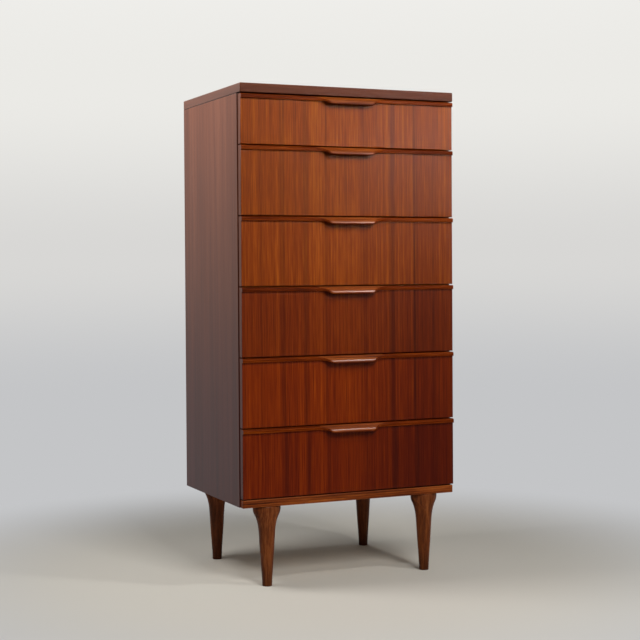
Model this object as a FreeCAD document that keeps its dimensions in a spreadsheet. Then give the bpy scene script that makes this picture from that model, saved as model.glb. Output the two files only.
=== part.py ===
"""A narrow six-drawer tallboy on four turned legs.

Lengths are in millimetres. +X is to the right of someone facing the drawers, +Y goes to the back
and +Z is up. The origin is on the floor, under the middle of the whole, pulls included.
"""
import FreeCAD, Part
import math
import os
import Sketcher

DEEP_DRAWERS = 5

# Driving lengths, kept in the sheet called Sizes
SIZES = {
    # Carcass
    "width": 610,
    "slab_depth": 438,
    "slab_thickness": 24,
    "slab_round": 3,
    "slab_under_round": 2,
    "side_thickness": 18,
    "bottom_thickness": 18,
    "back_thickness": 5,
    "back_lap": 9,
    "housing_depth": 6,
    "cross_rail_width": 60,
    "cross_rail_thickness": 18,
    # Rail under the lowest drawer
    "front_rail_height": 20,
    "front_rail_setback": 2,
    "front_rail_inset": 1,
    "front_rail_round": 2,
    # Drawer fronts
    "front_gap": 3,
    "closing_gap": 3,
    "front_setback": 2,
    "front_inset": 2,
    "front_thickness": 18,
    "front_round": 1.5,
    "deep_front_height": 176.5,
    "shallow_front_height": 126.5,
    # Lip rail and the pull in its middle
    "lip_height": 11,
    "lip_reach": 5,
    "lip_flat": 1.5,
    "lip_slope_reach": 4,
    "lip_slope_drop": 2,
    "pull_length": 113,
    "pull_sweep": 38,
    "pull_toe_run": 24,
    "pull_reach": 20,
    "pull_height": 18.8,
    "pull_crest_drop": 9,
    "pull_crest_setback": 4,
    "pull_crest_round": 1.5,
    "pull_scoop_radius": 60,
    "pull_face_radius": 20,
    "pull_edge_round": 1.3,
    "pull_grip_wall": 4.5,
    "lip_end_round": 1,
    # Drawer boxes
    "box_side_gap": 1.5,
    "box_side_thickness": 13,
    "box_back_thickness": 12,
    "box_rear_space": 15,
    "box_lift": 12,
    "deep_box_height": 140,
    "shallow_box_height": 95,
    "front_housing_depth": 6,
    "board_thickness": 4,
    "board_lift": 10,
    "board_groove_depth": 6,
    # Runners and their grooves
    "runner_height": 12,
    "runner_width": 8,
    "runner_setback": 12,
    "runner_length": 360,
    "deep_runner_lift": 62,
    "shallow_runner_lift": 42,
    "groove_depth": 7,
    "groove_top_play": 0.3,
    "groove_under_play": 0.5,
    "groove_end_play": 0.3,
    # Legs
    "leg_height": 207,
    "leg_half_width": 37.4,
    "leg_half_depth": 26,
    "foot_radius": 12.6,
    "leg_side_inset": 77.6,
    "leg_front_recess": 1.5,
    "leg_back_inset": 4.5,
    # Hanger bolts that hold the legs
    "bolt_radius": 4,
    "bolt_play": 0.2,
    "bolt_in_leg": 45,
    "bolt_spare": 3,
    "nut_corner_radius": 7.5,
    "nut_height": 6.5,
    "washer_radius": 8,
    "washer_thickness": 1.6,
    # How far a cutting tool runs past what it cuts
    "overrun": 5,
}

# The swept end of the pull turns from its outer to its inner curve at this share of its length
SWEEP_SHARE = 0.3

# The leg's outline: height up the leg, then how far its half width and its half depth have
# grown there from the foot's radius (0) to the top's (1). Straight strips join the rows
LEG_SHARES = (
    (0, 0, 0),
    (0.1, 0.04, 0.05),
    (0.24, 0.12, 0.17),
    (0.43, 0.23, 0.38),
    (0.6, 0.31, 0.55),
    (0.72, 0.39, 0.67),
    (0.79, 0.5, 0.76),
    (0.84, 0.63, 0.83),
    (0.88, 0.78, 0.89),
    (0.91, 0.91, 0.93),
    (0.95, 0.99, 0.98),
    (1, 1, 1),
)

# Deep drawers under the middle rail, and sides of a nut
DRAWERS_UNDER_RAIL = 3
NUT_SIDES = 6

# Two lengths or places count as the same within this share
FIT = 1e-6


class Term:
    """A length: its number, and the expression over the sheet that gives it."""

    def __init__(self, number, text):
        self.number = number
        self.text = text

    def __add__(self, other):
        other = as_term(other)
        return Term(self.number + other.number, f"({self.text} + {other.text})")

    def __sub__(self, other):
        other = as_term(other)
        return Term(self.number - other.number, f"({self.text} - {other.text})")

    def __mul__(self, other):
        other = as_term(other)
        return Term(self.number * other.number, f"({self.text} * {other.text})")

    def __truediv__(self, other):
        other = as_term(other)
        return Term(self.number / other.number, f"({self.text} / {other.text})")

    def __neg__(self):
        return Term(-self.number, f"(-1 * {self.text})")

    __radd__ = __add__
    __rmul__ = __mul__


def as_term(value):
    return value if isinstance(value, Term) else Term(value, repr(value))


class Sizes:
    """The driving lengths as terms, one attribute each, and the sheet that holds them."""

    def __init__(self, doc):
        sheet = doc.addObject("Spreadsheet::Sheet", "Sizes")
        for row, (name, number) in enumerate(SIZES.items(), start=1):
            sheet.set(f"A{row}", name.replace("_", " "))
            sheet.set(f"B{row}", str(number))
            sheet.setAlias(f"B{row}", name)
            setattr(self, name, Term(number, f"Sizes.{name}"))


doc = FreeCAD.newDocument("tallboy")
s = Sizes(doc)
doc.recompute()

nodes = {}


# Places that several pieces share

half_width = s.width / 2
half_inner = half_width - s.side_thickness
overall_depth = s.slab_depth - s.front_setback + s.pull_reach
back_y = overall_depth / 2
slab_front_y = back_y - s.slab_depth
face_y = slab_front_y + s.front_setback
front_back_y = face_y + s.front_thickness
side_front_y = front_back_y + s.closing_gap
rail_face_y = face_y + s.front_rail_setback
back_panel_y = back_y - s.back_thickness

carcass_z = s.leg_height
panel_top_z = carcass_z + s.bottom_thickness
first_front_z = carcass_z + s.front_rail_height + s.front_gap
deep_pitch = s.deep_front_height + s.front_gap
top_front_z = first_front_z + deep_pitch * DEEP_DRAWERS
slab_z = top_front_z + s.shallow_front_height + s.front_gap

# The middle rail lies level with the gap between two fronts
middle_gap_z = first_front_z + deep_pitch * DRAWERS_UNDER_RAIL - s.front_gap / 2
middle_rail_z = middle_gap_z - s.cross_rail_thickness / 2

half_front = half_width - s.front_inset
half_box = half_inner - s.box_side_gap
half_box_inner = half_box - s.box_side_thickness
box_back_y = back_panel_y - s.box_rear_space
groove_height = s.groove_under_play + s.runner_height + s.groove_top_play
runner_front_y = side_front_y + s.runner_setback


# Building blocks

def bind(item, prop, term):
    item.setExpression(prop, as_term(term).text)


def place(item, x=0, y=0, z=0):
    """Give an object its position, each coordinate bound to the sheet."""
    for axis, term in zip("xyz", (x, y, z)):
        bind(item, f"Placement.Base.{axis}", term)


def box(name, low, high):
    """A board between two corners."""
    item = doc.addObject("Part::Box", name)
    for prop, start, end in zip(("Length", "Width", "Height"), low, high):
        bind(item, prop, end - start)
    place(item, *low)
    return item


def side_span(sign, inner, outer):
    """The low and high x of a piece on the right (sign 1) or the left (sign -1)."""
    return (inner, outer) if sign > 0 else (-outer, -inner)


def cylinder(name, radius, x, y, low_z, high_z):
    item = doc.addObject("Part::Cylinder", name)
    bind(item, "Radius", radius)
    bind(item, "Height", high_z - low_z)
    place(item, x, y, low_z)
    return item


def cut(name, base, tools):
    """The base with every tool taken away."""
    tool = tools[0]
    if len(tools) > 1:
        tool = doc.addObject("Part::MultiFuse", name + "_cuts")
        tool.Shapes = tools
    item = doc.addObject("Part::Cut", name)
    item.Base = base
    item.Tool = tool
    return item


def group(name, items):
    """Several separate solids as one piece list entry."""
    item = doc.addObject("Part::Compound", name)
    item.Links = items
    return item


def node(name, item):
    """Name a finished piece."""
    item.Label = name
    nodes[name] = item
    return item


def origin_plane(body, role):
    return next(f for f in body.Origin.OriginFeatures if f.Role == role)


def arc_through(start, end, radius):
    """A circle arc from start to end, bulging right of that way for a positive radius."""
    x1, y1 = start
    x2, y2 = end
    chord = math.hypot(x2 - x1, y2 - y1)
    rise = abs(radius) - math.sqrt(max(radius ** 2 - chord ** 2 / 4, 0))
    turn = math.copysign(1, radius)
    middle_x = (x1 + x2) / 2 + turn * rise * (y2 - y1) / chord
    middle_y = (y1 + y2) / 2 - turn * rise * (x2 - x1) / chord
    points = [FreeCAD.Vector(x, y, 0) for x, y in (start, (middle_x, middle_y), end)]
    return Part.Arc(*points)


def outline(sketch, corners):
    """Draw a closed outline, fully tied to the sheet.

    Each corner is x, y and the radius of the arc that leads on from it, or None for a line.
    """
    spots = [(x.number, y.number) for x, y, _ in corners]
    count = len(corners)
    lines = []
    for i, (_, _, radius) in enumerate(corners):
        start = spots[i]
        end = spots[(i + 1) % count]
        if radius is None:
            edge = Part.LineSegment(FreeCAD.Vector(*start, 0), FreeCAD.Vector(*end, 0))
        else:
            edge = arc_through(start, end, radius.number)
        lines.append(sketch.addGeometry(edge, False))
    ends = [end_points(sketch, index, spots[i]) for i, index in enumerate(lines)]
    for i in range(count):
        following = (i + 1) % count
        sketch.addConstraint(Sketcher.Constraint(
            "Coincident", lines[i], ends[i][1], lines[following], ends[following][0]))
    for line, (start, _), (x, y, radius) in zip(lines, ends, corners):
        for kind, term in (("DistanceX", x), ("DistanceY", y)):
            tie(sketch, Sketcher.Constraint(kind, -1, 1, line, start, term.number), term)
        if radius is not None:
            size = radius if radius.number > 0 else -radius
            tie(sketch, Sketcher.Constraint("Radius", line, size.number), size)


def end_points(sketch, index, start):
    """Which end of an edge is its start here: 1 and 2, or 2 and 1 where an arc runs clockwise."""
    point = sketch.getPoint(index, 1)
    close = math.hypot(point.x - start[0], point.y - start[1]) < math.hypot(
        sketch.getPoint(index, 2).x - start[0], sketch.getPoint(index, 2).y - start[1])
    return (1, 2) if close else (2, 1)


def tie(sketch, constraint, term):
    """Add a constraint and bind its value to the sheet."""
    index = sketch.addConstraint(constraint)
    bind(sketch, f"Constraints[{index}]", term)


def body_with_outline(name, role, corner_lists):
    """A body whose first sketch, on one of its own origin planes, holds closed outlines."""
    body = doc.addObject("PartDesign::Body", name)
    return body, add_sketch(body, name + "_outline", role, corner_lists)


def add_sketch(body, name, role, corner_lists):
    sketch = body.newObject("Sketcher::SketchObject", name)
    sketch.AttachmentSupport = (origin_plane(body, role), [""])
    sketch.MapMode = "FlatFace"
    for corners in corner_lists:
        outline(sketch, corners)
    return sketch


def pad(body, sketch, length, name, middle=False):
    item = body.newObject("PartDesign::Pad", name)
    item.Profile = sketch
    item.Midplane = middle
    bind(item, "Length", length)
    return item


def fillet(body, base, radius, name, wanted):
    """Round the edges of the base that the test picks."""
    doc.recompute()
    picked = [f"Edge{i}" for i, edge in enumerate(base.Shape.Edges, start=1) if wanted(edge)]
    item = body.newObject("PartDesign::Fillet", name)
    item.Base = (base, picked)
    bind(item, "Radius", radius)
    return item


def edge_direction(edge):
    """The axis that a straight edge runs along, or None."""
    way = edge.lastVertex().Point - edge.firstVertex().Point
    for axis in "xyz":
        if math.isclose(abs(getattr(way, axis)), way.Length, rel_tol=FIT):
            return axis
    return None


def near(a, b):
    return math.isclose(a, b, rel_tol=FIT, abs_tol=FIT)


def rectangle(x1, y1, x2, y2):
    return [(x1, y1, None), (x2, y1, None), (x2, y2, None), (x1, y2, None)]


# Carcass

def top_slab():
    """The slab, rounded all round except at the back."""
    plan = rectangle(-half_width, slab_front_y, half_width, back_y)
    body, sketch = body_with_outline("top_slab", "XY_Plane", [plan])
    slab = pad(body, sketch, s.slab_thickness, "slab")
    front = slab_front_y.number
    back = back_y.number
    top = s.slab_thickness.number

    def corner_edge(edge):
        return edge_direction(edge) == "z" and near(edge.CenterOfMass.y, front)

    def level_edge(edge, level):
        centre = edge.CenterOfMass
        return edge_direction(edge) != "z" and near(centre.z, level) and not near(centre.y, back)

    corners = fillet(body, slab, s.slab_round, "slab_corners", corner_edge)
    rim = fillet(body, corners, s.slab_round, "slab_rim", lambda e: level_edge(e, top))
    fillet(body, rim, s.slab_under_round, "slab_underside", lambda e: level_edge(e, 0))
    place(body, 0, 0, slab_z)
    node("top_slab", body)


def side_panel(hand, sign):
    """A side, rebated for the back panel and housed for the cross rails and the bottom panel."""
    name = f"side_panel_{hand}"
    outer = half_width * sign
    inner = half_inner * sign
    lap = (half_inner + s.back_lap) * sign
    plan = [
        (inner, side_front_y, None),
        (outer, side_front_y, None),
        (outer, back_y, None),
        (lap, back_y, None),
        (lap, back_panel_y, None),
        (inner, back_panel_y, None),
    ]
    body, sketch = body_with_outline(name + "_board", "XY_Plane", [plan])
    pad(body, sketch, slab_z - carcass_z, name + "_pad")
    place(body, 0, 0, carcass_z)
    housed = half_inner + s.housing_depth
    low_x, high_x = side_span(sign, half_inner - s.overrun, housed)
    housings = [
        box(f"{name}_housing_{i}", (low_x, y1, z1), (high_x, y2, z2))
        for i, (y1, y2, z1, z2) in enumerate(cross_pieces(), start=1)
    ]
    node(name, cut(name, body, housings))


def cross_pieces():
    """The front, back, low and high faces of the four boards that cross between the sides."""
    rear_rail_y = back_panel_y - s.cross_rail_width
    rail_back_y = side_front_y + s.cross_rail_width
    top_rail_z = slab_z - s.cross_rail_thickness
    return (
        (side_front_y, back_panel_y, carcass_z, panel_top_z),
        (side_front_y, rail_back_y, top_rail_z, slab_z),
        (rear_rail_y, back_panel_y, top_rail_z, slab_z),
        (side_front_y, rail_back_y, middle_rail_z, middle_rail_z + s.cross_rail_thickness),
    )


def cross_boards():
    """The bottom panel and the three cross rails, let into the sides."""
    reach = half_inner + s.housing_depth
    names = ("bottom_panel", "top_rail_front", "top_rail_rear", "middle_rail")
    for name, (y1, y2, z1, z2) in zip(names, cross_pieces()):
        if name == "bottom_panel":
            board = box(name + "_board", (-reach, y1, z1), (reach, y2, z2))
            holes = [
                cylinder(f"{name}_hole_{spot}", s.bolt_radius + s.bolt_play, x, y,
                         z1 - s.overrun, z2 + s.overrun)
                for spot, x, y in leg_spots()
            ]
            node(name, cut(name, board, holes))
        else:
            node(name, box(name, (-reach, y1, z1), (reach, y2, z2)))


def back_panel():
    reach = half_inner + s.back_lap
    node("back_panel", box("back_panel", (-reach, back_panel_y, carcass_z), (reach, back_y, slab_z)))


def bottom_front_rail():
    """The solid rail across the front of the sides, with rounded ends."""
    reach = half_front - s.front_rail_inset
    plan = rectangle(-reach, rail_face_y, reach, side_front_y)
    body, sketch = body_with_outline("bottom_front_rail", "XY_Plane", [plan])
    rail = pad(body, sketch, s.front_rail_height, "rail")
    face = rail_face_y.number
    fillet(body, rail, s.front_rail_round, "rail_rounding",
           lambda e: near(e.CenterOfMass.y, face))
    place(body, 0, 0, carcass_z)
    node("bottom_front_rail", body)


def runners(number, box_z, lift):
    """The pair of strips that carry one drawer in the grooves of its sides."""
    strips = []
    for hand, sign in (("left", -1), ("right", 1)):
        low_x, high_x = side_span(sign, half_inner - s.runner_width, half_inner)
        low_z = box_z + lift + s.groove_under_play
        strips.append(box(
            f"runner_{number}_{hand}",
            (low_x, runner_front_y, low_z),
            (high_x, runner_front_y + s.runner_length, low_z + s.runner_height)))
    name = f"drawer_{number}_runners"
    node(name, group(name, strips))


# Legs and what holds them

def leg_spots():
    """The name and the place of each leg's axis."""
    x = half_width - s.leg_side_inset
    front = rail_face_y + s.leg_front_recess + s.leg_half_depth
    rear = back_y - s.leg_back_inset - s.leg_half_depth
    return (
        ("front_left", -x, front),
        ("front_right", x, front),
        ("rear_left", -x, rear),
        ("rear_right", x, rear),
    )


def leg_pair(row):
    """The two front or the two rear legs."""
    pair = [leg(spot, x, y) for spot, x, y in leg_spots() if spot.startswith(row)]
    name = f"legs_{row}"
    node(name, group(name, pair))


def leg(spot, x, y):
    """A leg that grows from a round foot to a wide oval top, bored for its bolt."""
    name = f"leg_{spot}"
    sections = []
    for i, (height, width_share, depth_share) in enumerate(LEG_SHARES):
        section = doc.addObject("Part::Ellipse", f"{name}_section_{i}")
        bind(section, "MajorRadius", s.foot_radius + (s.leg_half_width - s.foot_radius) * width_share)
        bind(section, "MinorRadius", s.foot_radius + (s.leg_half_depth - s.foot_radius) * depth_share)
        place(section, x, y, s.leg_height * height)
        sections.append(section)
    body = doc.addObject("Part::Loft", name + "_body")
    body.Sections = sections
    body.Ruled = True
    body.Solid = True
    bore = cylinder(name + "_bore", s.bolt_radius + s.bolt_play, x, y,
                    s.leg_height - s.bolt_in_leg - s.bolt_play, s.leg_height + s.overrun)
    return cut(name, body, [bore])


def leg_hardware():
    """A hanger bolt up through the bottom panel for each leg, with its washer and nut."""
    bolts = []
    washers = []
    nuts = []
    washer_top = panel_top_z + s.washer_thickness
    nut_top = washer_top + s.nut_height
    for spot, x, y in leg_spots():
        bolts.append(cylinder(f"bolt_{spot}", s.bolt_radius, x, y,
                              s.leg_height - s.bolt_in_leg, nut_top + s.bolt_spare))
        disc = cylinder(f"washer_disc_{spot}", s.washer_radius, x, y, panel_top_z, washer_top)
        nut = doc.addObject("Part::Prism", f"nut_block_{spot}")
        nut.Polygon = NUT_SIDES
        bind(nut, "Circumradius", s.nut_corner_radius)
        bind(nut, "Height", s.nut_height)
        place(nut, x, y, washer_top)
        for kind, blank, found in (("washer", disc, washers), ("nut", nut, nuts)):
            hole = cylinder(f"{kind}_hole_{spot}", s.bolt_radius + s.bolt_play, x, y,
                            panel_top_z - s.overrun, nut_top + s.overrun)
            found.append(cut(f"{kind}_{spot}", blank, [hole]))
    node("leg_bolts", group("leg_bolts", bolts))
    node("leg_washers", group("leg_washers", washers))
    node("leg_nuts", group("leg_nuts", nuts))


# Drawers

def drawer_front(number, low_z, height, box_z, box_height):
    """The veneered board under the lip, housed at its back for the box."""
    name = f"drawer_{number}_front"
    top = height - s.lip_height
    upright = rectangle(-half_front, as_term(0), half_front, top)
    body, sketch = body_with_outline(name + "_board", "XZ_Plane", [upright])
    board = pad(body, sketch, s.front_thickness, name + "_pad")
    face = -s.front_thickness.number
    lip_line = top.number

    def face_edge(edge):
        centre = edge.CenterOfMass
        return near(centre.y, face) and not near(centre.z, lip_line)

    fillet(body, board, s.front_round, name + "_rounding", face_edge)
    place(body, 0, front_back_y, low_z)
    deep = front_back_y - s.front_housing_depth
    slots = []
    for hand, sign in (("left", -1), ("right", 1)):
        low_x, high_x = side_span(sign, half_box_inner, half_box)
        slots.append(box(
            f"{name}_housing_{hand}",
            (low_x, deep, box_z),
            (high_x, front_back_y + s.overrun, box_z + box_height)))
    board_z = box_z + s.board_lift
    slots.append(box(
        name + "_board_groove",
        (-half_box_inner - s.board_groove_depth, deep, board_z),
        (half_box_inner + s.board_groove_depth, front_back_y + s.overrun, board_z + s.board_thickness)))
    node(name, cut(name, body, slots))


def lip_section():
    """The moulding's section, seen from its right end: reach in front of the face, then height."""
    hollow = s.pull_height - s.lip_height
    wall = s.pull_reach - s.pull_grip_wall
    back = -s.front_thickness
    level = as_term(0)
    return [
        (back, level, None),
        (s.lip_flat, level, None),
        (s.lip_slope_reach, -s.lip_slope_drop, s.pull_scoop_radius),
        (s.pull_reach - s.pull_crest_setback, -s.pull_crest_drop, -s.pull_face_radius),
        (s.pull_reach, -s.pull_height + s.pull_edge_round, -s.pull_edge_round),
        (s.pull_reach - s.pull_edge_round, -s.pull_height, None),
        (wall, -s.pull_height, hollow),
        (wall - hollow, -s.lip_height, None),
        (back, -s.lip_height, None),
    ]


def waste_plan(sign):
    """What is cut away beside the pull, in plan, so that its end sweeps back to the lip."""
    start = s.pull_length / 2
    end = start + s.pull_sweep
    rise = s.pull_reach - s.lip_reach
    bend = (s.pull_sweep * s.pull_sweep + rise * rise) / (rise * 2)
    past = s.pull_reach + s.overrun
    return [
        (start * sign, -s.pull_reach, bend * SWEEP_SHARE * sign),
        ((start + s.pull_sweep * SWEEP_SHARE) * sign, -s.pull_reach + rise * SWEEP_SHARE,
         bend * (1 - SWEEP_SHARE) * -sign),
        (end * sign, -s.lip_reach, None),
        ((half_front + s.overrun) * sign, -s.lip_reach, None),
        ((half_front + s.overrun) * sign, -past, None),
        (start * sign, -past, None),
    ]


def toe_waste(sign):
    """What is cut away below the pull's swept end, seen from in front, so that its bottom edge rises to the lip."""
    start = s.pull_length / 2
    end = start + s.pull_toe_run
    below = s.pull_height + s.overrun
    return [
        (start * sign, -s.pull_height, None),
        (end * sign, -s.lip_height, None),
        (end * sign, -below, None),
        (start * sign, -below, None),
    ]


def drawer_lip(number, top_z):
    """The solid moulding on top of the front: a plain lip that swells into the pull."""
    name = f"drawer_{number}_lip"
    body, sketch = body_with_outline(name, "YZ_Plane", [
        [(-reach, height, None if radius is None else -radius)
         for reach, height, radius in lip_section()]])
    moulding = pad(body, sketch, half_front * 2, name + "_moulding", middle=True)
    crest_reach = (s.pull_reach - s.pull_crest_setback).number
    crest_drop = s.pull_crest_drop.number
    crest = fillet(body, moulding, s.pull_crest_round, name + "_crest",
                   lambda e: near(e.CenterOfMass.y, -crest_reach)
                   and near(e.CenterOfMass.z, -crest_drop))
    doc.recompute()
    whole = crest.Shape.Volume
    plan = add_sketch(body, name + "_plan", "XY_Plane", [waste_plan(1), waste_plan(-1)])
    trimmed = body.newObject("PartDesign::Pocket", name + "_trim")
    trimmed.Profile = plan
    trimmed.Type = "ThroughAll"
    trimmed.Midplane = True
    doc.recompute()
    swept = trimmed.Shape.Volume
    if not swept < whole:
        raise RuntimeError(f"{name}: the waste beside the pull was not cut away")
    below = add_sketch(body, name + "_toe_outline", "XZ_Plane", [toe_waste(1), toe_waste(-1)])
    toe = body.newObject("PartDesign::Pocket", name + "_toe")
    toe.Profile = below
    toe.Type = "ThroughAll"
    toe.Midplane = True
    doc.recompute()
    if not toe.Shape.Volume < swept:
        raise RuntimeError(f"{name}: the waste below the pull's ends was not cut away")
    reach = half_front.number
    fillet(body, toe, s.lip_end_round, name + "_ends",
           lambda e: near(abs(e.CenterOfMass.x), reach)
           and near(e.CenterOfMass.y, -s.lip_reach.number))
    place(body, 0, face_y, top_z)
    node(name, body)


def drawer_box(number, box_z, height, lift):
    """The sides, back and bottom board, seated in the front and in each other."""
    board_z = box_z + s.board_lift
    side_front = front_back_y - s.front_housing_depth
    box_top = box_z + height
    back_inner_y = box_back_y - s.box_back_thickness
    groove_front_y = runner_front_y - s.groove_end_play
    for hand, sign in (("left", -1), ("right", 1)):
        name = f"drawer_{number}_side_{hand}"
        low_x, high_x = side_span(sign, half_box_inner, half_box)
        side = box(name + "_board", (low_x, side_front, box_z), (high_x, box_back_y, box_top))
        low_x, high_x = side_span(sign, half_box - s.groove_depth, half_box + s.overrun)
        runner_groove = box(
            name + "_runner_groove",
            (low_x, groove_front_y, box_z + lift),
            (high_x, box_back_y + s.overrun, box_z + lift + groove_height))
        low_x, high_x = side_span(
            sign, half_box_inner - s.overrun, half_box_inner + s.board_groove_depth)
        board_groove = box(
            name + "_board_groove",
            (low_x, side_front - s.overrun, board_z),
            (high_x, box_back_y + s.overrun, board_z + s.board_thickness))
        node(name, cut(name, side, [runner_groove, board_groove]))
    board_top = board_z + s.board_thickness
    back_name = f"drawer_{number}_back"
    node(back_name, box(
        back_name,
        (-half_box_inner, back_inner_y, board_top),
        (half_box_inner, box_back_y, box_top)))
    bottom_name = f"drawer_{number}_bottom"
    reach = half_box_inner + s.board_groove_depth
    node(bottom_name, box(
        bottom_name,
        (-reach, front_back_y - s.front_housing_depth, board_z),
        (reach, box_back_y, board_top)))


def drawer(number):
    """One drawer with its runners. Number 1 is the shallow one at the top."""
    if number == 1:
        low_z = top_front_z
        height, box_height, lift = s.shallow_front_height, s.shallow_box_height, s.shallow_runner_lift
    else:
        low_z = first_front_z + deep_pitch * (DEEP_DRAWERS + 1 - number)
        height, box_height, lift = s.deep_front_height, s.deep_box_height, s.deep_runner_lift
    box_z = low_z + s.box_lift
    drawer_front(number, low_z, height, box_z, box_height)
    drawer_lip(number, low_z + height)
    drawer_box(number, box_z, box_height, lift)
    runners(number, box_z, lift)


def check_and_write():
    """Stop at any failed object or broken solid, then write one file for each piece."""
    doc.recompute()
    for item in doc.Objects:
        if {"Invalid", "Error"} & set(item.State):
            raise RuntimeError(f"{item.Name} failed: {item.State}")
    os.makedirs("parts", exist_ok=True)
    for name, item in nodes.items():
        shape = item.Shape
        if shape.isNull() or not shape.isValid() or not shape.Solids:
            raise RuntimeError(f"{name} has no valid solid")
        shape.exportStep(os.path.join("parts", name + ".step"))
    print(f"{len(nodes)} pieces written")


top_slab()
side_panel("left", -1)
side_panel("right", 1)
cross_boards()
back_panel()
bottom_front_rail()
leg_pair("front")
leg_pair("rear")
leg_hardware()
for number in range(1, DEEP_DRAWERS + 2):
    drawer(number)
check_and_write()
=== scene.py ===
"""The looks of a narrow six-drawer tallboy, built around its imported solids.

Lengths are in metres. +X is to the right of someone facing the drawers, +Y goes to the back and
+Z is up, as in the solids. Turned legs and carved lips replace their plainer solids. Every other
piece is its own solid, with a procedural material and with eased edges where they show.
"""
import bmesh
import bpy
import math
from mathutils import Matrix, Vector


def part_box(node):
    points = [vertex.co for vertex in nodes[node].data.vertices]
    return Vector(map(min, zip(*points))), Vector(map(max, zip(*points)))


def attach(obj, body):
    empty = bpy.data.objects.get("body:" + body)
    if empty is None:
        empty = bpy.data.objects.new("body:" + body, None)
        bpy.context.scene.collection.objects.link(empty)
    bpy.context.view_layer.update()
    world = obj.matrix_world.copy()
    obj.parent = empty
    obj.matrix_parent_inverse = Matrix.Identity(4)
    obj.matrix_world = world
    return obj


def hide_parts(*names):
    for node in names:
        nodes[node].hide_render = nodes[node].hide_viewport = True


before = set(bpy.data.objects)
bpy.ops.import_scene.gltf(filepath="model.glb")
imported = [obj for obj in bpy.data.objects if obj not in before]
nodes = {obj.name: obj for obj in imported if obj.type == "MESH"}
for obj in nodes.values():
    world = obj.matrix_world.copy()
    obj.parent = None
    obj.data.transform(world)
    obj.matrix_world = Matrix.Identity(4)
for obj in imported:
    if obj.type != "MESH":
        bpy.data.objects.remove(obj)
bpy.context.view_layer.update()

scene = bpy.context.scene
scene.view_settings.view_transform = "Standard"

DRAWERS = range(1, 7)


# Camera

IMAGE_SIZE = 640
SENSOR = 36
FOCAL_PIXELS = 1421.7
CAMERA_AT = Vector((-1.5788, -3.5538, 0.8132))
CAMERA_YAW = 0.4194
CAMERA_PITCH = 0.0180
CAMERA_ROLL = -0.0064
HORIZON_PIXELS = 26.25


def add_camera():
    """The photograph's view: yaw towards +X, pitch down, a slight roll and a small vertical shift."""
    level = Vector((math.sin(CAMERA_YAW), math.cos(CAMERA_YAW), 0))
    aside = Vector((math.cos(CAMERA_YAW), -math.sin(CAMERA_YAW), 0))
    up = Vector((0, 0, 1))
    ahead = level * math.cos(CAMERA_PITCH) - up * math.sin(CAMERA_PITCH)
    over = up * math.cos(CAMERA_PITCH) + level * math.sin(CAMERA_PITCH)
    right = aside * math.cos(CAMERA_ROLL) + over * math.sin(CAMERA_ROLL)
    top = over * math.cos(CAMERA_ROLL) - aside * math.sin(CAMERA_ROLL)
    data = bpy.data.cameras.new("camera")
    data.sensor_width = SENSOR
    data.lens = FOCAL_PIXELS / IMAGE_SIZE * SENSOR
    data.shift_y = -HORIZON_PIXELS / IMAGE_SIZE
    camera = bpy.data.objects.new("camera", data)
    scene.collection.objects.link(camera)
    turn = Matrix((right, top, -ahead)).transposed().to_4x4()
    camera.matrix_world = Matrix.Translation(CAMERA_AT) @ turn
    scene.camera = camera


# Colours and shader nodes

# The colour inputs and output of Blender's Mix node, which share their names with its other kinds
MIX_FIRST = 6
MIX_SECOND = 7
MIX_RESULT = 2


def colour(red, green, blue):
    """A linear colour from the numbers 0 to 255 that a picture editor shows."""
    return tuple(linear(v / 255) for v in (red, green, blue)) + (1,)


def linear(v):
    """A share of full brightness in linear light, from the share that a screen is given."""
    return v / 12.92 if v <= 0.04045 else ((v + 0.055) / 1.055) ** 2.4


def grey(value):
    """An even linear colour, to darken another one or to carry a plain number through a ramp."""
    return (value, value, value, 1)


def tones(*triples):
    """The dark, the middle and the light colour of a wood."""
    return tuple(colour(*triple) for triple in triples)


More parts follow.
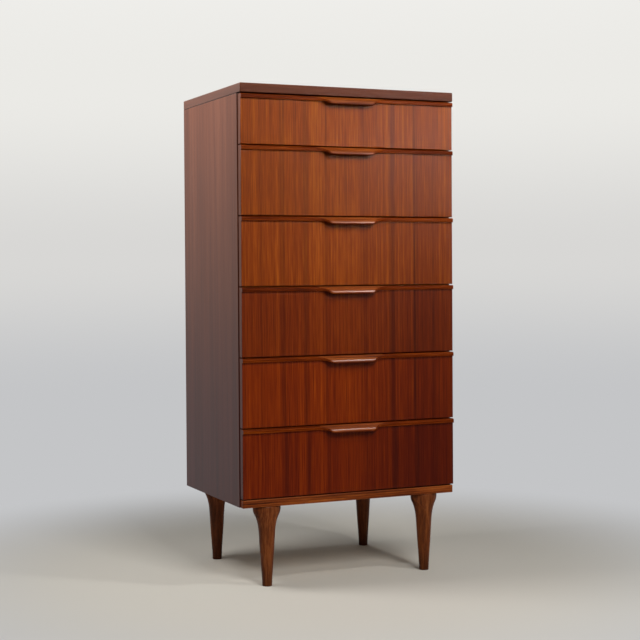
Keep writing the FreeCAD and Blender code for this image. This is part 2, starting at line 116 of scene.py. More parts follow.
class Graph:
    """A material or world under construction, with short ways to add and join nodes."""

    def __init__(self, tree):
        self.tree = tree
        tree.nodes.clear()

    def add(self, kind, inputs=None, **settings):
        """A new shader node with these settings and inputs."""
        node = self.tree.nodes.new("ShaderNode" + kind)
        for key, value in settings.items():
            setattr(node, key, value)
        for key, value in (inputs or {}).items():
            self.feed(node.inputs[key], value)
        return node

    def feed(self, socket, value):
        """Give an input a fixed value, or join another node's output to it."""
        if isinstance(value, bpy.types.NodeSocket):
            self.tree.links.new(value, socket)
        else:
            socket.default_value = value

    def math(self, operation, *values):
        """The result of one Math node."""
        node = self.add("Math", operation=operation)
        for socket, value in zip(node.inputs, values):
            self.feed(socket, value)
        return node.outputs[0]

    def times(self, *values):
        """The product of all the values."""
        result = values[0]
        for value in values[1:]:
            result = self.math("MULTIPLY", result, value)
        return result

    def plus(self, *values):
        """The sum of all the values."""
        result = values[0]
        for value in values[1:]:
            result = self.math("ADD", result, value)
        return result

    def vector(self, x, y, z):
        """A vector from its three parts."""
        return self.add("CombineXYZ", {"X": x, "Y": y, "Z": z}).outputs[0]

    def noise(self, vector, detail=2, roughness=0.5):
        """Smooth noise, 0.5 at its middle, with spots about 1 across."""
        inputs = {"Vector": vector, "Scale": 1, "Detail": detail, "Roughness": roughness}
        return self.add("TexNoise", inputs).outputs["Fac"]

    def span(self, value, low, high, to_low=0, to_high=1):
        """The value taken from the first range to the second, held at its ends."""
        node = self.add("MapRange", {"Value": value, "From Min": low, "From Max": high,
                                     "To Min": to_low, "To Max": to_high}, interpolation_type="SMOOTHSTEP")
        return node.outputs[0]

    def ramp(self, factor, stops, interpolation="EASE"):
        """The colour at this factor between the stops, each a position and a colour."""
        node = self.add("ValToRGB", {"Fac": factor})
        ramp = node.color_ramp
        ramp.interpolation = interpolation
        while len(ramp.elements) < len(stops):
            ramp.elements.new(1)
        for element, (position, value) in zip(ramp.elements, stops):
            element.position = position
            element.color = value
        return node.outputs["Color"]

    def mix(self, factor, first, second, blend="MIX"):
        """The first colour, blended with the second as far as the factor says."""
        node = self.add("Mix", data_type="RGBA", blend_type=blend)
        self.feed(node.inputs["Factor"], factor)
        self.feed(node.inputs[MIX_FIRST], first)
        self.feed(node.inputs[MIX_SECOND], second)
        return node.outputs[MIX_RESULT]

    def tint(self, factor, base, shade):
        """The base colour, multiplied by the shade as far as the factor says."""
        return self.mix(factor, base, self.mix(1, base, shade, "MULTIPLY"))

    def place(self):
        """The three coordinates of a point on the object at rest."""
        point = self.add("TexCoord").outputs["Object"]
        split = self.add("SeparateXYZ", {"Vector": point})
        return [split.outputs[axis] for axis in "XYZ"]

    def seen(self):
        """1 for the rays that show the studio's own colour: the camera's, mirrored and through glass."""
        path = self.add("LightPath")
        mirrored = self.math("MAXIMUM", path.outputs["Is Glossy Ray"], path.outputs["Is Transmission Ray"])
        return self.math("MAXIMUM", path.outputs["Is Camera Ray"], mirrored)

    def show(self, shader):
        """Put this shader on the surface."""
        self.feed(self.add("OutputMaterial").inputs["Surface"], shader.outputs[0])


def material(name):
    """A new material and its empty graph."""
    made = bpy.data.materials.new(name)
    made.use_nodes = True
    return made, Graph(made.node_tree)


# Wood

# How quickly the slow sway of the fibres changes across them and along them, in spots per metre
SWAY_ACROSS = 3
SWAY_ALONG = 2.5
# The streaks that bend the growth layers, and how many layers they shift them by
RING_STREAKS = (0.03, 0.25, 1)
RING_WOBBLE = 0.6
# The height of the surface's relief, and how much the fibres change its roughness
RELIEF = 0.0004
FIBRE_ROUGHNESS = 0.1
# How much a veneer's lines add to its relief, next to its fibres
LINE_RELIEF = 0.5


class Grain:
    """Fibre streaks of several sizes along one axis, each about 0 at its middle.

    The wander is how far the fibres sway, in metres. The seed gives each wood its own figure.
    """

    def __init__(self, graph, axis, wander, seed=0):
        self.graph = graph
        x, y, z = graph.place()
        across, depth, along = {"X": (z, y, x), "Y": (z, x, y), "Z": (x, y, z)}[axis]
        slow = graph.noise(graph.vector(graph.times(across, SWAY_ACROSS), graph.times(depth, SWAY_ACROSS),
                                        graph.plus(graph.times(along, SWAY_ALONG), seed)), detail=1)
        sway = graph.times(graph.plus(slow, -0.5), wander)
        self.across = graph.plus(across, sway)
        self.depth = graph.plus(depth, sway)
        self.along = graph.plus(along, seed)

    def streaks(self, width, length, detail=2, roughness=0.5):
        """Noise with spots of about this width across the fibres and this length along them."""
        g = self.graph
        point = g.vector(g.times(self.across, 1 / width), g.times(self.depth, 1 / width),
                         g.times(self.along, 1 / length))
        return g.plus(g.noise(point, detail, roughness), -0.5)

    def tone(self, rows):
        """The weighted sum of the rows' streaks, 0.5 at its middle, and the streaks by themselves."""
        streaks = [self.streaks(*row[:-1]) for row in rows]
        weighted = [self.graph.times(streak, row[-1]) for streak, row in zip(streaks, rows)]
        return self.graph.plus(0.5, *weighted), streaks

    def rings(self, spacing, pith):
        """Growth layers about a pith line at this place across the grain, 0 to 1 through each."""
        g = self.graph
        side = g.plus(self.across, -pith[0])
        deep = g.plus(self.depth, -pith[1])
        radius = g.math("SQRT", g.plus(g.times(side, side), g.times(deep, deep)))
        drift = g.times(self.streaks(*RING_STREAKS), RING_WOBBLE)
        return g.math("FRACT", g.plus(g.times(radius, 1 / spacing), drift))


def finish_wood(graph, base, height, fibres, roughness, specular, bump=0.25):
    """Join a wood colour to a satin surface whose sheen and relief follow the fibres."""
    rough = graph.plus(graph.times(fibres, FIBRE_ROUGHNESS), roughness)
    relief = graph.add("Bump", {"Strength": bump, "Distance": RELIEF, "Height": height})
    graph.show(graph.add("BsdfPrincipled", {
        "Base Color": base, "Roughness": rough, "Normal": relief.outputs[0],
        "Specular IOR Level": specular}))


def finish_veneer(graph, base, line, fibre, roughness, specular):
    """The same for a veneer, with the relief of its lines and fibres."""
    height = graph.plus(graph.times(line, LINE_RELIEF), fibre)
    finish_wood(graph, base, height, line, roughness, specular)


# The streaks of each veneer, from broad bands and ribbons to lines and fibres: width across the
# fibres, length along them, detail, roughness of the detail, and weight in the tone
FRONT_STREAKS = (
    (0.05, 2.5, 1, 0.5, 0.2),
    (0.012, 1.6, 1, 0.5, 0.2),
    (0.0045, 1.3, 2, 0.6, 0.6),
    (0.0016, 0.09, 2, 0.6, 0.8),
)
SIDE_STREAKS = (
    (0.07, 1.4, 1, 0.5, 0.5),
    (0.014, 0.6, 1, 0.5, 0.5),
    (0.004, 0.3, 2, 0.6, 0.7),
    (0.0012, 0.05, 2, 0.6, 0.4),
)
SLAB_STREAKS = (
    (0.05, 0.9, 1, 0.5, 0.5),
    (0.009, 0.35, 2, 0.5, 0.4),
    (0.003, 0.14, 2, 0.6, 0.5),
    (0.001, 0.03, 2, 0.6, 0.3),
)
# The tones at which a veneer has its dark, its middle and its light colour
VENEER_STOPS = (0.2, 0.5, 0.8)
FRONT_WOOD = tones((92, 32, 2), (134, 60, 6), (176, 98, 20))
SIDE_WOOD = tones((68, 32, 18), (91, 47, 29), (112, 64, 43))
SLAB_WOOD = tones((68, 30, 14), (92, 45, 24), (116, 62, 36))
LIPPING_WOOD = tones((58, 29, 19), (78, 42, 28), (98, 57, 40))

# Where the veneer leaves of the drawer fronts meet: place, depth of the dark stripe, and how wide
# it fades to its left and to its right
LEAF_JOINTS = (
    (-0.246, 0.1, 0.016, 0.006),
    (-0.187, 0.36, 0.018, 0.006),
    (-0.128, 0.42, 0.009, 0.014),
    (-0.069, 0.22, 0.010, 0.006),
    (-0.013, 0.14, 0.005, 0.004),
    (0.047, 0.16, 0.026, 0.006),
    (0.081, 0.12, 0.006, 0.006),
    (0.125, 0.42, 0.020, 0.008),
    (0.187, 0.42, 0.008, 0.014),
    (0.247, 0.2, 0.012, 0.006),
)
FRONTS_SPAN = 0.62
JOINT_SHADE = colour(138, 96, 96)
# Between these two heights the joints grow deeper, from the first factor to the second
DEEP_JOINTS = (0.78, 0.75, 1.3, 1.5)
# How far the leaves of the lowest front lie to the right of those above
LOWEST_SHIFT = 0.006

# The bottom of each front and its tone against the plain veneer colour, from the lowest up. The lower
# fronts are darker and redder, partly from each board's own tone and partly as painted shade towards the
# floor.
FRONT_TONES = (
    (0.2200, (0.60, 0.30, 0.10)),
    (0.4000, (0.75, 0.44, 0.20)),
    (0.5800, (0.65, 0.43, 0.30)),
    (0.7600, (0.95, 0.82, 0.60)),
    (0.9400, (0.94, 0.86, 0.70)),
    (1.1200, (1.03, 0.96, 0.80)),
)
TOTAL_HEIGHT = 1.281
# Painted shade: the fronts grow darker and redder from left to right and from top to bottom, over these
# ranges, as less light reaches their lower right
SHADE_ACROSS = (-0.15, 0.3)
SHADE_DOWN = (1.5, 0.25)
PAINTED_FRONT_SHADE = colour(186, 164, 158)


def leaf_joints(graph, x):
    """How dark the veneer is at this x for its joints: 0 in the middle of a leaf."""
    stops = [(0, grey(0))]
    for place, depth, left, right in LEAF_JOINTS:
        for at, value in ((place - left, 0), (place, depth), (place + right, 0)):
            stops.append((at / FRONTS_SPAN + 0.5, grey(value)))
    return graph.ramp(graph.plus(graph.times(x, 1 / FRONTS_SPAN), 0.5), stops)


def front_veneer():
    """Upright, quarter-cut, orange brown veneer in leaves of about 60 mm, matched from front to front."""
    made, g = material("front_veneer_upright")
    grain = Grain(g, "Z", wander=0.002)
    x, _, z = g.place()
    tone, (_, _, line, fibre) = grain.tone(FRONT_STREAKS)
    base = g.ramp(tone, tuple(zip(VENEER_STOPS, FRONT_WOOD)), "LINEAR")

    in_lowest = g.math("LESS_THAN", z, FRONT_TONES[1][0])
    joints = leaf_joints(g, g.plus(grain.across, g.times(in_lowest, -LOWEST_SHIFT)))
    base = g.tint(g.times(joints, g.span(z, *DEEP_JOINTS)), base, JOINT_SHADE)

    # Painted shade towards the lower right of the fronts
    painted_shade = g.times(g.span(x, *SHADE_ACROSS), g.span(z, *SHADE_DOWN))
    base = g.tint(painted_shade, base, PAINTED_FRONT_SHADE)

    # Each front's tone, with painted shade on the lower fronts
    steps = [(low / TOTAL_HEIGHT, front + (1,)) for low, front in FRONT_TONES]
    base = g.mix(1, base, g.ramp(g.times(z, 1 / TOTAL_HEIGHT), steps, "CONSTANT"), "MULTIPLY")
    finish_veneer(g, base, line, fibre, roughness=0.3, specular=0.09)
    return made


# The seam between the slab and the sides: its height, and how far its dark line reaches up and
# down, with the share of that reach where it is fully dark. The line is partly a dark joint and partly
# painted shade in the seam's groove.
SEAM_HEIGHT = 1.257
SEAM_REACH = 0.0011
SEAM_CORE = 0.6
SEAM_SHADE = grey(0.12)


def seam(graph, base, z):
    """The colour with the dark line of the seam under the slab, partly a dark joint and partly painted
    shade.
    """
    off = graph.math("ABSOLUTE", graph.plus(z, -SEAM_HEIGHT))
    return graph.tint(graph.span(off, SEAM_REACH, SEAM_REACH * SEAM_CORE), base, SEAM_SHADE)


# Painted shade and painted reflection: the sides grow darker, where less light falls, and cooler with the
# reflected blue-grey of the wall, from the first height down to the second
COOL_DOWN = (0.9, 0.2)
COOL_SHADE = colour(208, 194, 247)


def side_veneer():
    """Upright veneer of the sides: calmer and browner than the fronts, with painted shade and a painted
    cool reflection towards the floor.
    """
    made, g = material("case_veneer_upright")
    grain = Grain(g, "Z", wander=0.004, seed=3.7)
    grain.across, grain.depth = grain.depth, grain.across
    tone, (_, _, line, fibre) = grain.tone(SIDE_STREAKS)
    base = g.ramp(tone, tuple(zip(VENEER_STOPS, SIDE_WOOD)), "LINEAR")
    height = g.place()[2]
    # Painted shade and a painted cool reflection, growing towards the floor
    base = g.tint(g.span(height, *COOL_DOWN), base, COOL_SHADE)
    base = seam(g, base, height)
    finish_veneer(g, base, line, fibre, roughness=0.38, specular=0.19)
    return made


def slab_veneer(name, axis, wood, specular):
    """The slab's veneer or its edge lippings, with the grain along the given axis."""
    made, g = material(name)
    grain = Grain(g, axis, wander=0.012, seed=9.1)
    tone, (_, _, line, fibre) = grain.tone(SLAB_STREAKS)
    base = g.ramp(tone, tuple(zip(VENEER_STOPS, wood)), "LINEAR")
    base = seam(g, base, g.place()[2])
    finish_veneer(g, base, line, fibre, roughness=0.36, specular=specular)
    return made


# The streaks of solid wood, as the veneers' above. The line's width is the wood's own.
SOLID_BAND = (0.02, 0.3, 1, 0.5, 0.6)
SOLID_LINE = (0.09, 2, 0.6, 0.7)
SOLID_FIBRE = (0.0009, 0.02, 2, 0.6, 0.4)
SOLID_WANDER = 0.01
SOLID_STOPS = (0.15, 0.5, 0.85)
# Open pores: width, length and detail of their noise, the part of it that counts, and how much
# they darken and sink the surface
PORE_STREAKS = (0.0006, 0.009, 1)
PORE_RANGE = (0.12, 0.2)
PORE_SHADE = grey(0.35)
PORE_DARKNESS = 0.45
PORE_DEPTH = 0.8
# The colour that a leg's wood is multiplied by at the floor, as painted shade
FOOT_SHADE = grey(0.5)

LIP_WOOD = tones((52, 13, 1), (99, 34, 3), (146, 66, 10))
# The pulls are the same wood as the lips: their lighter, yellower tone is painted sheen
PULL_WOOD = tones((78, 28, 6), (132, 60, 15), (168, 92, 32))
RAIL_WOOD = tones((46, 15, 3), (114, 50, 15), (164, 88, 36))
LEG_WOOD = tones((30, 11, 3), (104, 50, 19), (154, 88, 44))
PALE_WOOD = tones((150, 112, 70), (184, 146, 98), (206, 172, 124))
THIN_WOOD = tones((120, 82, 50), (152, 110, 70), (176, 132, 88))
BACK_WOOD = tones((112, 74, 46), (144, 100, 64), (168, 122, 80))


def solid_wood(name, axis, wood, spacing=0.0035, pith=(0.05, 0.02), seed=0.0, streak=0.004, layers=0.28,
               foot=0.0, roughness=0.34, specular=0.3, bump=0.25):
    """Solid wood with growth layers, dark streaks and open pores, with painted shade below the foot
    height.
    """
    made, g = material(name)
    grain = Grain(g, axis, SOLID_WANDER, seed)
    tone, (_, line, fibre) = grain.tone((SOLID_BAND, (streak, *SOLID_LINE), SOLID_FIBRE))
    tone = g.plus(tone, g.times(g.plus(grain.rings(spacing, pith), -0.5), layers))
    base = g.ramp(tone, tuple(zip(SOLID_STOPS, wood)), "LINEAR")
    pores = g.span(grain.streaks(*PORE_STREAKS), *PORE_RANGE)
    base = g.tint(g.times(pores, PORE_DARKNESS), base, PORE_SHADE)
    # Painted shade towards the floor
    if foot:
        base = g.tint(g.span(g.place()[2], foot, 0), base, FOOT_SHADE)
    height = g.plus(fibre, g.times(pores, -PORE_DEPTH))
    finish_wood(g, base, height, line, roughness, specular, bump)
    return made


# Metal

CLOUDS_PER_METRE = 400
ZINC_COLOURS = ((0.3, colour(150, 150, 146)), (0.7, colour(190, 190, 186)))
# The part of the cloud's noise that counts, and the roughness at its two ends
ZINC_ROUGHNESS = (0.2, 0.8, 0.3, 0.5)


def zinc():
    """Dull zinc plate, with the faint cloudiness of its crystals."""
    made, g = material("zinc_plate")
    point = g.vector(*[g.times(part, CLOUDS_PER_METRE) for part in g.place()])
    cloud = g.noise(point, 3)
    g.show(g.add("BsdfPrincipled", {
        "Base Color": g.ramp(cloud, ZINC_COLOURS), "Metallic": 1,
        "Roughness": g.span(cloud, *ZINC_ROUGHNESS)}))
    return made


# Solids that stay as they are

# A face belongs to a piece's left or right end where its normal points this far sideways
END_SLANT = 0.7
EDGE_EASE = 0.0005
EDGE_ANGLE = math.radians(35)
# Points closer than this are one, and faces that turn less than this are one
WELD_REACH = 0.00001
FLAT_ANGLE = math.radians(0.5)


def dress(node, *materials):
    """Give a solid its materials. The first one covers it."""
    mesh = nodes[node].data
    mesh.materials.clear()
    for one in materials:
        mesh.materials.append(one)


def mark_ends(node):
    """Put a solid's second material on its left and right ends."""
    for polygon in nodes[node].data.polygons:
        polygon.material_index = int(abs(polygon.normal.x) > END_SLANT)


def ease_edges(node):
    """Take the sharpness off a solid's edges, as sanding does."""
    item = nodes[node]
    weld = item.modifiers.new("weld", "WELD")
    weld.merge_threshold = WELD_REACH
    flat = item.modifiers.new("flat", "DECIMATE")
    flat.decimate_type = "DISSOLVE"
    flat.angle_limit = FLAT_ANGLE
    bevel = item.modifiers.new("ease", "BEVEL")
    bevel.width = EDGE_EASE
    bevel.segments = 2
    bevel.limit_method = "ANGLE"
    bevel.angle_limit = EDGE_ANGLE
    bevel.harden_normals = False


# Meshes of new pieces

def oval(mesh, centre, wide, deep, height, sides):
    """A level ring of points on an oval about a centre."""
    turns = [2 * math.pi * i / sides for i in range(sides)]
    return [mesh.verts.new((centre[0] + wide * math.cos(t), centre[1] + deep * math.sin(t), height))
            for t in turns]


def join_rings(mesh, rings):
    """Join each ring of points to the next one by smooth quads."""
    for lower, upper in zip(rings, rings[1:]):
        for i in range(len(lower)):
            j = (i + 1) % len(lower)
            mesh.faces.new((lower[i], lower[j], upper[j], upper[i])).smooth = True


def finished(mesh, name):
    """The finished mesh data."""
    data = bpy.data.meshes.new(name)
    mesh.to_mesh(data)
    mesh.free()
    return data


def add_piece(name, mesh, body, made):
    """A new piece on a body and its first material."""
    item = bpy.data.objects.new(name, mesh)
    scene.collection.objects.link(item)
    mesh.materials.append(made)
    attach(item, body)
    return item


# Legs

# The leg's outline as in the solids: height up the leg, then the growth of its half width and its
# half depth from the foot's radius to the top's
LEG_ROWS = (
    (0, 0, 0),
    (0.1, 0.04, 0.05),
    (0.24, 0.12, 0.17),
    (0.43, 0.23, 0.38),
    (0.6, 0.31, 0.55),
    (0.72, 0.39, 0.67),
    (0.79, 0.5, 0.76),
    (0.84, 0.63, 0.83),
    (0.88, 0.78, 0.89),
    (0.91, 0.91, 0.93),
    (0.95, 0.99, 0.98),
    (1, 1, 1),
)
FOOT_RADIUS = 0.0126
FOOT_EASE = 0.0008
LEG_HALF_WIDTH = 0.0374
LEG_RINGS = 56
LEG_SIDES = 48


def smooth_share(height, column):
    """The outline's value at a height, on a cubic curve that never overshoots its rows."""
    heights = [row[0] for row in LEG_ROWS]
    values = [row[column] for row in LEG_ROWS]
    slopes = [(values[i + 1] - values[i]) / (heights[i + 1] - heights[i]) for i in range(len(values) - 1)]
    tangents = [slopes[0]]
    for before, after in zip(slopes, slopes[1:]):
        tangents.append(2 * before * after / (before + after) if before * after > 0 else 0)
    tangents.append(slopes[-1])
    i = max(k for k in range(len(slopes)) if heights[k] <= height)
    step = heights[i + 1] - heights[i]
    t = (height - heights[i]) / step
    return ((2 * t ** 3 - 3 * t ** 2 + 1) * values[i] + (t ** 3 - 2 * t ** 2 + t) * step * tangents[i]
            + (3 * t ** 2 - 2 * t ** 3) * values[i + 1] + (t ** 3 - t ** 2) * step * tangents[i + 1])


def add_leg(name, node, side, made):
    """A turned leg on the solid's place: round at the foot, a wide oval at the top."""
    low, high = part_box(node)
    half_depth = (high.y - low.y) / 2
    centre = (side * (high.x - LEG_HALF_WIDTH), (high.y + low.y) / 2)
    mesh = bmesh.new()
    rings = []
    heights = [0, FOOT_EASE / high.z] + [i / LEG_RINGS for i in range(1, LEG_RINGS + 1)]
    for number, height in enumerate(heights):
        inset = FOOT_EASE if number == 0 else 0
        wide = FOOT_RADIUS + (LEG_HALF_WIDTH - FOOT_RADIUS) * smooth_share(height, 1) - inset
        deep = FOOT_RADIUS + (half_depth - FOOT_RADIUS) * smooth_share(height, 2) - inset
        rings.append(oval(mesh, centre, wide, deep, height * high.z, LEG_SIDES))
    join_rings(mesh, rings)
    mesh.faces.new(list(reversed(rings[0])))
    mesh.faces.new(rings[-1])
    item = add_piece(name, finished(mesh, name), "carcass", made)
    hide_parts(node)


# Lips and pulls

# As in the solids. The section is given as reach in front of the drawer's face against drop below
# the lip's top.
FACE_Y = -0.208
LIP_BACK = -0.018
LIP_REACH = 0.005
LIP_HEIGHT = 0.011
LIP_HALF_LENGTH = 0.303
LIP_END_ROUND = 0.001
TOP_FLAT = 0.0015
SLOPE_END = (0.004, 0.002)
CREST = (0.016, 0.009)
FACE_END = (0.020, 0.0175)
SCOOP_RADIUS = 0.060
FACE_RADIUS = 0.020
PULL_HEIGHT = 0.0188
PULL_EDGE_ROUND = 0.0013
GRIP_WALL = 0.0045
PULL_HALF_LENGTH = 0.0565
PULL_SWEEP = 0.038
SWEEP_SHARE = 0.3
TOE_RUN = 0.024
# Softened edges: the pull's rim, its bottom edge, and its crest with the shares at which it is averaged
RIM_EASE = 0.0005
BOTTOM_EASE = 0.0004
CREST_EASE = 0.001
CREST_SHARES = (-1, -0.5, 0, 0.5, 1)
# The drops of the outline's upper points, the shares of the way from the last one down to the bottom
# edge, and the steps of the underside, which is at least this deep
UPPER_DROPS = (0, 0.0006, 0.0012, 0.0017, 0.0021, 0.0025, 0.0029, 0.0034, 0.004, 0.0047, 0.0054, 0.0061,
               0.0068, 0.0075, 0.008, 0.0084, 0.0087, 0.009, 0.0093, 0.0096, 0.01)
LOWER_SHARES = (0.12, 0.25, 0.38, 0.5, 0.6, 0.7, 0.79, 0.86, 0.91, 0.95, 0.985, 1)
UNDER_ROWS = 8
UNDER_DEPTH = 0.0015
# Where the outline is taken along the lip: the steps of each swept end, the places on the plain lip,
# and the shares of the rounded end
SWEEP_STEPS = 34
PLAIN_STATIONS = (0.15, 0.225)
END_SHARES = (0.4, 0.7, 0.9, 1)
# The moulding is polished as a pull where it may stand out further than this, and there has a lighter tone
# as painted sheen
POLISHED_REACH = LIP_REACH * 1.02
# The lip's materials, in the order of its slots
PLAIN, POLISHED, ENDS = range(3)
LIP_SHARP_ANGLE = math.radians(40)


def arc_reach(drop, first, last, radius, bulge):
    """The reach at a drop on the arc between two points. It bulges forward for 1 and is hollow for -1."""
    run, fall = last[0] - first[0], last[1] - first[1]
    chord = math.hypot(run, fall)
    inset = math.sqrt(radius ** 2 - chord ** 2 / 4) * bulge
    centre_reach = (first[0] + last[0]) / 2 - fall / chord * inset
    centre_drop = (first[1] + last[1]) / 2 + run / chord * inset
    return centre_reach + bulge * math.sqrt(max(0, radius ** 2 - (drop - centre_drop) ** 2))


def section_reach(drop):
    """How far the full section stands out at a drop: slope, scoop, crest, face and bottom edge."""
    if drop <= SLOPE_END[1]:
        return TOP_FLAT + (SLOPE_END[0] - TOP_FLAT) * drop / SLOPE_END[1]
    if drop <= CREST[1]:
        return arc_reach(drop, SLOPE_END, CREST, SCOOP_RADIUS, -1)
    if drop <= FACE_END[1]:
        return arc_reach(drop, CREST, FACE_END, FACE_RADIUS, 1)
    past = min(drop - FACE_END[1], PULL_EDGE_ROUND)
    return FACE_END[0] - PULL_EDGE_ROUND + math.sqrt(PULL_EDGE_ROUND ** 2 - past ** 2)


def eased_section(drop):
    """The section with its crest softened."""
    if abs(drop - CREST[1]) > 2 * CREST_EASE:
        return section_reach(drop)
    return sum(section_reach(drop + CREST_EASE * share) for share in CREST_SHARES) / len(CREST_SHARES)


def plan_reach(x):
    """How far the moulding may stand out at this x: the pull, its swept ends and the plain lip."""
    rise = FACE_END[0] - LIP_REACH
    bend = (PULL_SWEEP ** 2 + rise ** 2) / (2 * rise)
    past = abs(x) - PULL_HALF_LENGTH
    if past <= 0:
        return FACE_END[0]
    if past <= PULL_SWEEP * SWEEP_SHARE:
        radius = bend * SWEEP_SHARE
        return FACE_END[0] - (radius - math.sqrt(radius ** 2 - past ** 2))
    if past <= PULL_SWEEP:
        radius = bend * (1 - SWEEP_SHARE)
        return LIP_REACH + (radius - math.sqrt(radius ** 2 - (PULL_SWEEP - past) ** 2))
    end = abs(x) - (LIP_HALF_LENGTH - LIP_END_ROUND)
    if end > 0:
        return LIP_REACH - (LIP_END_ROUND - math.sqrt(max(0, LIP_END_ROUND ** 2 - end ** 2)))
    return LIP_REACH


def under_drop(reach):
    """The drop of the underside at a reach: flat lip, hollow for the fingers, flat bottom edge."""
    hollow = PULL_HEIGHT - LIP_HEIGHT
    inner = FACE_END[0] - GRIP_WALL - hollow
    if reach <= inner:
        return LIP_HEIGHT
    if reach >= inner + hollow:
        return PULL_HEIGHT
    return PULL_HEIGHT - math.sqrt(hollow ** 2 - (reach - inner) ** 2)


def toe_drop(x):
    """The lowest drop at this x: the pull's bottom edge rises to the lip's along its swept ends."""
    share = min(1, max(0, (abs(x) - PULL_HALF_LENGTH) / TOE_RUN))
    return PULL_HEIGHT - (PULL_HEIGHT - LIP_HEIGHT) * share


def lip_ring(x):
    """The moulding's outline at one x as reach, drop and whether it belongs to the polished pull."""
    limit = plan_reach(x)
    toe = toe_drop(x)
    bottom = min(toe, under_drop(min(FACE_END[0] - PULL_EDGE_ROUND, limit) - BOTTOM_EASE))
    knee = UPPER_DROPS[-1]
    ring = []
    for drop in UPPER_DROPS + tuple(knee + (bottom - knee) * share for share in LOWER_SHARES):
        full = eased_section(drop)
        gap = full - limit
        reach = (full + limit - math.sqrt(gap ** 2 + RIM_EASE ** 2)) / 2
        left = BOTTOM_EASE - (bottom - drop)
        if left > 0:
            reach -= BOTTOM_EASE - math.sqrt(BOTTOM_EASE ** 2 - left ** 2)
        ring.append((reach, drop, gap < -RIM_EASE and limit > POLISHED_REACH))
    front = ring[-1][0]
    inner = min(FACE_END[0] - GRIP_WALL - PULL_HEIGHT + LIP_HEIGHT, front - UNDER_DEPTH)
    for i in range(1, UNDER_ROWS + 1):
        reach = front + (inner - front) * i / UNDER_ROWS
        ring.append((reach, min(toe, under_drop(reach)), False))
    ring.append((LIP_BACK, LIP_HEIGHT, False))
    ring.append((LIP_BACK, 0, False))
    return ring


def lip_stations():
    """The places along the moulding where its outline is taken, closest in the sweeps and at the ends."""
    straight = LIP_HALF_LENGTH - LIP_END_ROUND
    half = [PULL_HALF_LENGTH + PULL_SWEEP * i / SWEEP_STEPS for i in range(SWEEP_STEPS + 1)]
    half += [*PLAIN_STATIONS, straight]
    half += [straight + LIP_END_ROUND * share for share in END_SHARES]
    return [-x for x in reversed(half)] + half


def add_lip(number, plain, polished, ends):
    """One lip with its sculpted pull, on its solid's place."""
    node = f"drawer_{number}_lip"
    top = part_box(node)[1].z
    mesh = bmesh.new()
    rings = []
    pulls = []
    for x in lip_stations():
        outline = lip_ring(x)
        rings.append([mesh.verts.new((x, FACE_Y - reach, top - drop)) for reach, drop, _ in outline])
        pulls.append([pull for _, _, pull in outline])
    for left, right, left_pull, right_pull in zip(rings, rings[1:], pulls, pulls[1:]):
        for i in range(len(left)):
            j = (i + 1) % len(left)
            face = mesh.faces.new((left[i], left[j], right[j], right[i]))
            face.smooth = True
            in_pull = left_pull[i] and left_pull[j] and right_pull[i] and right_pull[j]
            face.material_index = POLISHED if in_pull else PLAIN
    mesh.faces.new(list(reversed(rings[0]))).material_index = ENDS
    mesh.faces.new(rings[-1]).material_index = ENDS
    data = finished(mesh, f"{node}_carved")
    data.set_sharp_from_angle(angle=LIP_SHARP_ANGLE)
    item = add_piece(f"{node}_carved", data, f"drawer_{number}", plain)
    data.materials.append(polished)
    data.materials.append(ends)
    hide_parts(node)


# Stage

# The weak even light from all sides
AMBIENT = (0.03, 0.032, 0.036, 1)
# The floor near the chest
FLOOR_COLOUR = colour(206, 201, 190)
FLOOR_ROUGHNESS = 0.8
# The colours that the sweep shows, by the share of its height, darker towards the floor as painted shade
SWEEP_COLOURS = (
    (0, colour(196, 197, 199)),
    (0.15, colour(216, 215, 213)),
    (0.35, colour(235, 234, 230)),
    (0.6, colour(243, 242, 239)),
)
# The distances from the chest between which the floor's real light gives way to the sweep's colour
LIT_REACH = (0.55, 1.5)
SWEEP_FLAT = 5
SWEEP_BEND = 1.5
SWEEP_TOP = 6
SWEEP_TURNS = 96
FLAT_RINGS = 6
BEND_RINGS = 12


def sweep_material():
    """The floor near the chest takes light and shadow.

    Further out the sweep shows its pale colour, darker towards the floor as painted shade, where it is
    seen or mirrored, and gives off a weak even light otherwise.
    """
    made, g = material("sweep")
    x, y, z = g.place()
    reach = g.math("SQRT", g.plus(g.times(x, x), g.times(y, y)))
    # Painted shade: the sweep's colour grows darker towards the floor
    pale = g.ramp(g.times(z, 1 / SWEEP_TOP), SWEEP_COLOURS)
    light = g.add("Emission", {"Color": g.mix(g.seen(), AMBIENT, pale), "Strength": 1})
    floor = g.add("BsdfPrincipled", {"Base Color": FLOOR_COLOUR, "Roughness": FLOOR_ROUGHNESS})
    g.show(g.add("MixShader", {0: g.span(reach, *LIT_REACH), 1: floor.outputs[0], 2: light.outputs[0]}))
    made.cycles.emission_sampling = "NONE"
    return made


def add_sweep():
    """A round studio sweep: a floor that curves up into a wall, far outside the camera's path."""
    profile = [(SWEEP_FLAT * i / FLAT_RINGS, 0) for i in range(1, FLAT_RINGS + 1)]
    for i in range(1, BEND_RINGS + 1):
        turn = math.pi / 2 * i / BEND_RINGS
        profile.append((SWEEP_FLAT + SWEEP_BEND * math.sin(turn), SWEEP_BEND * (1 - math.cos(turn))))
    profile.append((SWEEP_FLAT + SWEEP_BEND, SWEEP_TOP))
    mesh = bmesh.new()
    rings = [oval(mesh, (0, 0), radius, radius, height, SWEEP_TURNS) for radius, height in profile]
    mesh.faces.new(rings[0])
    join_rings(mesh, rings)
    data = finished(mesh, "sweep")
    data.materials.append(sweep_material())
    sweep = bpy.data.objects.new("sweep", data)
    scene.collection.objects.link(sweep)


def add_world():
    """The sweep's uppermost colour and the same weak light above it."""
    world = bpy.data.worlds.new("studio")
    world.use_nodes = True
    scene.world = world
    g = Graph(world.node_tree)
    shown = SWEEP_COLOURS[-1][1]
    light = g.add("Background", {"Color": g.mix(g.seen(), AMBIENT, shown), "Strength": 1})
    g.feed(g.add("OutputWorld").inputs["Surface"], light.outputs[0])


# Light

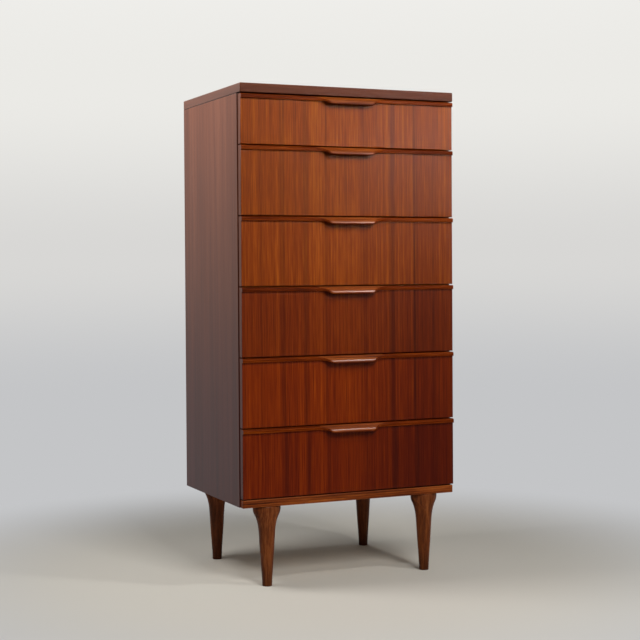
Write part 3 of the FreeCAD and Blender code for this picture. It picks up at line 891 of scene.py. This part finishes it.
# Soft boxes: name, place, the point they face, width, height, power in watts, and beam in degrees.
# The window's narrow beam lays a grey sheen on the upper right of the fronts, the key makes the
# pulls' highlights, the front box lights the whole evenly, and the left one lights the side.
OPEN_BEAM = 180
LAMPS = (
    ("window", (2.76, -4.7, 1.72), (0.25, -0.2, 1.25), 0.6, 0.6, 0.92, 24),
    ("key", (0.8, -1.2, 1.86), (0, -0.2, 0.6), 0.15, 0.15, 9, OPEN_BEAM),
    ("front", (0.1, -3.3, 2.7), (0, -0.2, 0.9), 1.3, 1.3, 88, OPEN_BEAM),
    ("left", (-0.95, 0.1, 1.66), (-0.3, 0.05, 1.2), 0.4, 0.6, 16, OPEN_BEAM),
    ("behind", (0.4, 1.3, 2.8), (0, 0.2, 0.8), 1.6, 0.8, 2, OPEN_BEAM),
)


def add_lamp(name, at, towards, width, height, power, beam):
    """A soft box that faces a point and isn't seen itself."""
    data = bpy.data.lights.new(name, "AREA")
    data.shape = "RECTANGLE"
    data.size = width
    data.size_y = height
    data.energy = power
    data.spread = math.radians(beam)
    lamp = bpy.data.objects.new(name, data)
    scene.collection.objects.link(lamp)
    lamp.location = at
    lamp.rotation_mode = "QUATERNION"
    lamp.rotation_quaternion = (Vector(towards) - Vector(at)).to_track_quat("-Z", "Y")
    lamp.visible_camera = False


# The whole scene

add_camera()
add_sweep()
add_world()
for lamp in LAMPS:
    add_lamp(*lamp)

veneer = front_veneer()
case = side_veneer()
slab_along = slab_veneer("slab_veneer_lengthwise", "X", SLAB_WOOD, specular=0.1)
slab_across = slab_veneer("slab_lipping_crosswise", "Y", LIPPING_WOOD, specular=0.22)
lip_wood = solid_wood("lip_wood", "X", LIP_WOOD, roughness=0.3, specular=0.03)
# Polished pulls, whose lighter tone is painted sheen
pull_wood = solid_wood("pull_wood_polished_sheen", "X", PULL_WOOD, roughness=0.23, specular=0.26, bump=0.06)
rail_wood = solid_wood("rail_wood", "X", RAIL_WOOD, seed=4.2, specular=0.08)
leg_wood = solid_wood("leg_wood_upright", "Z", LEG_WOOD, pith=(0.3, 0.1), seed=1.3, layers=0.08,
                      foot=0.09, specular=0.1)
pale_wood = solid_wood("drawer_wood_pale", "Y", PALE_WOOD, spacing=0.006, roughness=0.5)
pale_cross = solid_wood("drawer_back_wood_pale", "X", PALE_WOOD, spacing=0.006, roughness=0.5, seed=7.7)
thin_wood = solid_wood("thin_board_wood", "X", THIN_WOOD, spacing=0.012, streak=0.008, roughness=0.6,
                       seed=2.9)
back_wood = solid_wood("back_board_wood", "Z", BACK_WOOD, spacing=0.012, streak=0.008, roughness=0.6,
                       seed=5.5)
metal = zinc()

dress("top_slab", slab_along, slab_across)
mark_ends("top_slab")
ease_edges("top_slab")
for hand in ("left", "right"):
    dress(f"side_panel_{hand}", case)
    ease_edges(f"side_panel_{hand}")
dress("bottom_front_rail", rail_wood)
ease_edges("bottom_front_rail")
dress("back_panel", back_wood)
for name in ("bottom_panel", "top_rail_front", "top_rail_rear", "middle_rail"):
    dress(name, pale_cross)
for name in ("leg_bolts", "leg_washers", "leg_nuts"):
    dress(name, metal)
for row in ("front", "rear"):
    for hand, side in (("left", -1), ("right", 1)):
        add_leg(f"leg_{row}_{hand}_turned", f"legs_{row}", side, leg_wood)
for number in DRAWERS:
    dress(f"drawer_{number}_front", veneer, case)
    mark_ends(f"drawer_{number}_front")
    ease_edges(f"drawer_{number}_front")
    add_lip(number, lip_wood, pull_wood, case)
    dress(f"drawer_{number}_back", pale_cross)
    dress(f"drawer_{number}_bottom", thin_wood)
    dress(f"drawer_{number}_runners", pale_wood)
    for hand in ("left", "right"):
        dress(f"drawer_{number}_side_{hand}", pale_wood)
        ease_edges(f"drawer_{number}_side_{hand}")
